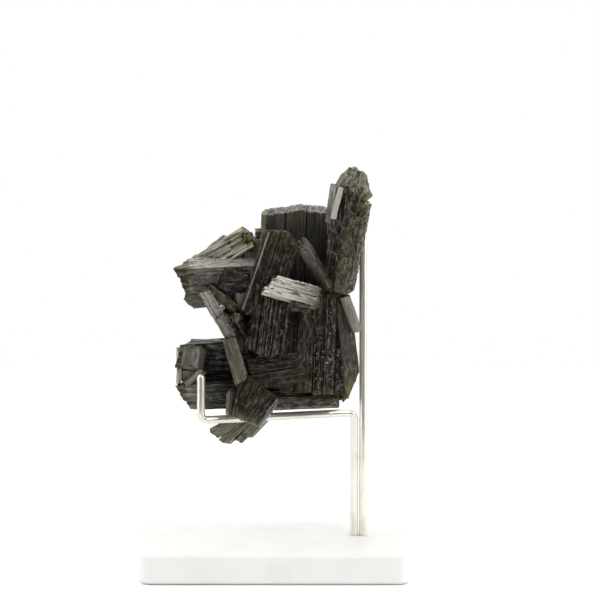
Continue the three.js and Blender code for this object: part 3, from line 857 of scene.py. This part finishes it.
# %% Two shared effects
streaks, given, put = new_group("long_streaks", {"Vector": "Vector", "Across": "Float", "Along": "Float"},
                                ["Height", "Mask"])
spacing = add_node(streaks, "ShaderNodeCombineXYZ", {0: given["Across"], 1: given["Along"], 2: 0.0}).outputs[0]
squeezed = add_node(streaks, "ShaderNodeVectorMath", {0: given["Vector"], 1: spacing}, operation="MULTIPLY")
lines = add_node(streaks, "ShaderNodeTexNoise", {"Vector": squeezed.outputs[0], "Scale": 1.0, "Detail": 3.0,
                                                 "Roughness": 0.6}, noise_dimensions="2D").outputs[0]
streaks.links.new(lines, put["Height"])
band = add_node(streaks, "ShaderNodeMapRange", {0: lines, 1: 0.42, 2: 0.62}).outputs[0]
streaks.links.new(band, put["Mask"])

grains, given, put = new_group("fine_grain", {"Vector": "Vector", "Scale": "Float"}, ["Height", "Mask"])
speckle = add_node(grains, "ShaderNodeTexNoise", {"Vector": given["Vector"], "Scale": given["Scale"], "Detail": 4.0,
                                                  "Roughness": 0.65}).outputs[0]
grains.links.new(speckle, put["Height"])
spots = add_node(grains, "ShaderNodeMapRange", {0: speckle, 1: 0.45, 2: 0.65}).outputs[0]
grains.links.new(spots, put["Mask"])


def group_node(tree, group, **inputs):
    """A group placed in a material with its own values."""
    node = tree.nodes.new("ShaderNodeGroup")
    node.node_tree = group
    for key, value in inputs.items():
        if isinstance(value, bpy.types.NodeSocket):
            tree.links.new(value, node.inputs[key])
        else:
            node.inputs[key].default_value = value
    return node.outputs


def new_material(name, **sockets):
    """A material with one Principled shader, whose even values are set on its own sockets."""
    material = bpy.data.materials.new(name)
    material.use_nodes = True
    shader = material.node_tree.nodes["Principled BSDF"]
    for key, value in sockets.items():
        shader.inputs[key.replace("_", " ")].default_value = value
    return material, material.node_tree, shader


print("shared effects:", [group.name for group in bpy.data.node_groups])

# %% [markdown]
# Epidote is a glossy silicate with a strong refraction, so an index of 1.75 gives its bright reflections on a
# nearly black body. Its colour is brown-black where it is thick and olive where it is thin. Granular faces are
# lighter and dull. Striae shape the gloss through a bump, and they also change the colour a little. Painted light
# stands for highlights and lit faces, white specks are painted glints, and painted shade darkens and dulls the
# crystals deep in hollows.

# %% Epidote
DEEP = (0.006, 0.004, 0.002, 1)
BROWN = (0.056, 0.041, 0.025, 1)
OLIVE = (0.32, 0.3, 0.1, 1)
GRAINY = (0.1, 0.085, 0.055, 1)
# painted light: the colour of the highlights and lit faces painted on the crystals
PAINTED_LIGHT = (0.7, 0.675, 0.6, 1)

epidote, tree, shader = new_material("epidote", IOR=1.75)
own_map = add_node(tree, "ShaderNodeUVMap", uv_map="grain").outputs[0]
place_here = add_node(tree, "ShaderNodeTexCoord").outputs["Object"]
told = {name: add_node(tree, "ShaderNodeAttribute", attribute_name=name).outputs["Fac"]
        for name in ("end_face", "olive", "granular", "tone", "pale", "cracks", "painted_shade", "painted_glints")}
striae = group_node(tree, streaks, Vector=own_map, Across=2.6, Along=0.05)
hairlines = group_node(tree, streaks, Vector=own_map, Across=7.0, Along=0.12)
grain = group_node(tree, grains, Vector=place_here, Scale=700.0)
clouds = group_node(tree, grains, Vector=place_here, Scale=160.0)
patches = group_node(tree, streaks, Vector=own_map, Across=1.0, Along=0.4)
veins = group_node(tree, streaks, Vector=own_map, Across=0.9, Along=0.16)
crack = add_node(tree, "ShaderNodeMapRange", {0: veins["Height"], 1: 0.35, 2: 0.42, 3: 1.0, 4: 0.0}).outputs[0]
# specks for the painted glints
specks = add_node(tree, "ShaderNodeMapRange", {0: group_node(tree, grains, Vector=place_here, Scale=1400.0)["Height"],
                                               1: 0.66, 2: 0.7}).outputs[0]

on_side = math_value(tree, "SUBTRACT", 1.0, told["end_face"])
smooth_side = math_value(tree, "MULTIPLY", on_side, math_value(tree, "SUBTRACT", 1.0, told["granular"]))
rough_face = math_value(tree, "ADD", told["granular"], math_value(tree, "MULTIPLY", told["end_face"], 0.3), clamp=True)

body = mixed_colour(tree, math_value(tree, "MULTIPLY", told["tone"], striae["Mask"]), DEEP, BROWN)
grainy_share = math_value(tree, "MULTIPLY", rough_face, math_value(tree, "ADD", grain["Mask"], 0.25), clamp=True)
body = mixed_colour(tree, grainy_share, body, GRAINY)
# painted light for highlights and lit faces, broken by dark cracks and by the striae
whole = math_value(tree, "SUBTRACT", 1.0, math_value(tree, "MULTIPLY", crack, told["cracks"]))
lined = math_value(tree, "MAXIMUM", told["pale"], math_value(tree, "MULTIPLY_ADD", striae["Mask"], 0.5, 0.5))
whole = math_value(tree, "MULTIPLY", whole, lined)
patchy = math_value(tree, "MULTIPLY_ADD", patches["Mask"], 0.6, 0.4)
pale_share = math_value(tree, "MULTIPLY", told["pale"], whole, clamp=True)
body = mixed_colour(tree, pale_share, body, PAINTED_LIGHT)
olive_share = math_value(tree, "MULTIPLY", told["olive"], math_value(tree, "ADD", clouds["Height"], 0.3), clamp=True)
olive_share = math_value(tree, "MULTIPLY", olive_share, patchy)
body = mixed_colour(tree, olive_share, body, OLIVE)
# painted glints: white specks mixed into the colour
body = mixed_colour(tree, math_value(tree, "MULTIPLY", told["painted_glints"], specks), body, (0.9, 0.9, 0.86, 1))
# painted shade: crystals deep in hollows are drawn darker
body = mixed_colour(tree, told["painted_shade"], body, DEEP)
tree.links.new(body, shader.inputs["Base Color"])
shine = math_value(tree, "MULTIPLY_ADD", patches["Mask"], 0.5, 0.1)
# painted shade also dulls their gloss
shine = math_value(tree, "MULTIPLY", shine, math_value(tree, "SUBTRACT", 1.0, told["painted_shade"]))
tree.links.new(shine, shader.inputs["Specular IOR Level"])

gloss = math_value(tree, "MULTIPLY_ADD", striae["Height"], 0.15, 0.02)
gloss = math_value(tree, "MULTIPLY_ADD", rough_face, 0.25, gloss, clamp=True)
tree.links.new(gloss, shader.inputs["Roughness"])

line_height = math_value(tree, "MULTIPLY_ADD", hairlines["Height"], 0.25, striae["Height"])
line_height = math_value(tree, "MULTIPLY", line_height, smooth_side)
grain_height = math_value(tree, "MULTIPLY", grain["Height"], math_value(tree, "ADD", rough_face, 0.05))
height = math_value(tree, "MULTIPLY_ADD", grain_height, 4.0, line_height)
pits = math_value(tree, "MULTIPLY_ADD", patches["Height"], 1.5, height)
bump = add_node(tree, "ShaderNodeBump", {"Height": pits, "Strength": 0.7, "Distance": 0.0002})
tree.links.new(bump.outputs[0], shader.inputs["Normal"])
cluster_pieces = [tall_crystals, upright_crystals, wedge_crystals, left_crystals, hanging_crystal,
                  central_crystals, striated_crystals, lying_crystals, stout_crystals, hollow_crystals,
                  back_crystals, slim_crystals]
for piece in cluster_pieces:
    piece.data.materials.clear()
    piece.data.materials.append(epidote)
print("epidote has", len(tree.nodes), "nodes")

# %% [markdown]
# The rods are drawn metal, polished to a slightly warm shine. Faint marks run along them, and a fine grain
# breaks the mirror a little, as handling does.

# %% Polished rod
rod_metal, tree, shader = new_material("polished_rod", Metallic=0.6)
own_map = add_node(tree, "ShaderNodeUVMap", uv_map="grain").outputs[0]
place_here = add_node(tree, "ShaderNodeTexCoord").outputs["Object"]
drawing = group_node(tree, streaks, Vector=own_map, Across=6.0, Along=0.08)
handled = group_node(tree, grains, Vector=place_here, Scale=220.0)
metal = mixed_colour(tree, handled["Mask"], (0.86, 0.83, 0.75, 1), (0.78, 0.75, 0.66, 1))
tree.links.new(metal, shader.inputs["Base Color"])
gloss = math_value(tree, "MULTIPLY_ADD", handled["Height"], 0.14, 0.04)
gloss = math_value(tree, "MULTIPLY_ADD", drawing["Mask"], 0.06, gloss)
tree.links.new(gloss, shader.inputs["Roughness"])
bump = add_node(tree, "ShaderNodeBump", {"Height": drawing["Height"], "Strength": 0.25, "Distance": 0.00005})
tree.links.new(bump.outputs[0], shader.inputs["Normal"])
for piece in (polished_arm, polished_rest):
    piece.data.materials.append(rod_metal)
print("rod metal has", len(tree.nodes), "nodes")

# %% [markdown]
# The base is a plain white block. Its solid shape is right, so it stays and only gets a satin finish with a faint
# unevenness in its colour and gloss.

# %% White base
white_paint, tree, shader = new_material("white_base")
place_here = add_node(tree, "ShaderNodeTexCoord").outputs["Object"]
paint = group_node(tree, grains, Vector=place_here, Scale=60.0)
orange_peel = group_node(tree, grains, Vector=place_here, Scale=900.0)
white = mixed_colour(tree, paint["Mask"], (0.86, 0.86, 0.84, 1), (0.82, 0.815, 0.79, 1))
tree.links.new(white, shader.inputs["Base Color"])
gloss = math_value(tree, "MULTIPLY_ADD", paint["Height"], 0.2, 0.35)
tree.links.new(gloss, shader.inputs["Roughness"])
bump = add_node(tree, "ShaderNodeBump", {"Height": orange_peel["Height"], "Strength": 0.3, "Distance": 0.00005})
tree.links.new(bump.outputs[0], shader.inputs["Normal"])
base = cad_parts["base"]
base.data.materials.clear()
base.data.materials.append(white_paint)
print("base has", len(base.data.polygons), "faces")

# %% [markdown]
# The floor is a plain pale disc. It is kept small towards the front, so that the glossy front faces mirror the
# dim room instead of it.

# %% Floor
FLOOR_RADIUS = 0.32
bpy.ops.mesh.primitive_circle_add(vertices=128, radius=FLOOR_RADIUS, fill_type="NGON", location=(0, 0.06, -0.0002))
floor = bpy.context.object
floor.name = "floor"
floor_white, tree, shader = new_material("floor_white", Roughness=0.9)
shader.inputs["Base Color"].default_value = (0.95, 0.95, 0.94, 1)
floor.data.materials.append(floor_white)
print("floor is", 2 * FLOOR_RADIUS, "m across")

# %% [markdown]
# The light is a plain soft studio: a white surround that is bright behind and above and dim in front, so tops
# and ends shine while fronts stay dark, and one soft light high in front that makes faces tilted up flash.

# %% Light
world = bpy.data.worlds.new("studio")
bpy.context.scene.world = world
world.use_nodes = True
tree = world.node_tree
tree.nodes.clear()
way = add_node(tree, "ShaderNodeTexCoord").outputs["Generated"]
parts = add_node(tree, "ShaderNodeSeparateXYZ", {0: way}).outputs
tent = add_node(tree, "ShaderNodeMapRange", {0: parts[1], 1: -0.75, 2: -0.25, 3: 0.03, 4: 1.0},
                interpolation_type="SMOOTHSTEP").outputs[0]
above = add_node(tree, "ShaderNodeMapRange", {0: parts[2], 1: 0.3, 2: 0.95, 3: 0.0, 4: 0.5},
                 interpolation_type="SMOOTHSTEP").outputs[0]
sideways = math_value(tree, "ABSOLUTE", parts[0])
inner = add_node(tree, "ShaderNodeMapRange", {0: sideways, 1: 0.78, 2: 0.82, 3: 0.0, 4: 3.2},
                 interpolation_type="SMOOTHSTEP").outputs[0]
outer = add_node(tree, "ShaderNodeMapRange", {0: sideways, 1: 0.9, 2: 0.93, 3: 1.0, 4: 0.0},
                 interpolation_type="SMOOTHSTEP").outputs[0]
in_front = add_node(tree, "ShaderNodeMapRange", {0: parts[1], 1: -0.2, 2: 0.0, 3: 1.0, 4: 0.0}).outputs[0]
strips = math_value(tree, "MULTIPLY", math_value(tree, "MULTIPLY", inner, outer), in_front)
glow = math_value(tree, "ADD", math_value(tree, "ADD", tent, above), strips)
lit = add_node(tree, "ShaderNodeBackground", {"Color": (1, 1, 1, 1), "Strength": glow})
seen = add_node(tree, "ShaderNodeBackground", {"Color": (1, 1, 1, 1), "Strength": 1.0})
camera_ray = add_node(tree, "ShaderNodeLightPath").outputs["Is Camera Ray"]
both = add_node(tree, "ShaderNodeMixShader", {0: camera_ray, 1: lit.outputs[0], 2: seen.outputs[0]})
out = add_node(tree, "ShaderNodeOutputWorld", {"Surface": both.outputs[0]})


def soft_light(name, way, distance, size, radiance):
    """A rectangular light that looks at the specimen; its power is radiance times pi times its area."""
    way = np.array(way, float) / np.linalg.norm(way)
    light = bpy.data.lights.new(name, "AREA")
    light.shape = "RECTANGLE"
    light.size, light.size_y = size
    light.energy = radiance * math.pi * size[0] * size[1]
    lamp = bpy.data.objects.new(name, light)
    bpy.context.scene.collection.objects.link(lamp)
    middle = place((-25, 65, 0)) * MM
    lamp.location = middle + way * distance
    lamp.rotation_euler = (bpy_vector(way)).to_track_quat("Z", "Y").to_euler()
    return lamp


def bpy_vector(values):
    """Three numbers as Blender's own vector."""
    from mathutils import Vector
    return Vector(values)


soft_light("softbox", (0.465, -0.671, 0.572), 0.6, (0.24, 0.14), 8)

# %% [markdown]
# The camera looks from the front, down by nine degrees, from far away through a long lens, as one photographs
# small things. The picture is 180 mm wide at the specimen.

# %% Camera
FIELD = 180.0
DISTANCE = 2400.0
SENSOR = 36.0
sight = np.array([0, math.cos(SIGHT_TILT), -math.sin(SIGHT_TILT)])
upward = np.array([0, math.sin(SIGHT_TILT), math.cos(SIGHT_TILT)])
aim = FOOT + np.array([-17.55, 0, 0]) + 70.5 * upward
camera_data = bpy.data.cameras.new("camera")
camera_data.sensor_width = SENSOR
camera_data.lens = SENSOR * DISTANCE / FIELD
camera = bpy.data.objects.new("camera", camera_data)
bpy.context.scene.collection.objects.link(camera)
camera.location = (aim - sight * DISTANCE) * MM
camera.rotation_euler = (math.pi / 2 - SIGHT_TILT, 0, 0)
bpy.context.scene.camera = camera
bpy.context.scene.view_settings.view_transform = "Standard"
print("lens", round(camera_data.lens), "mm, camera at", [round(value, 3) for value in camera.location])
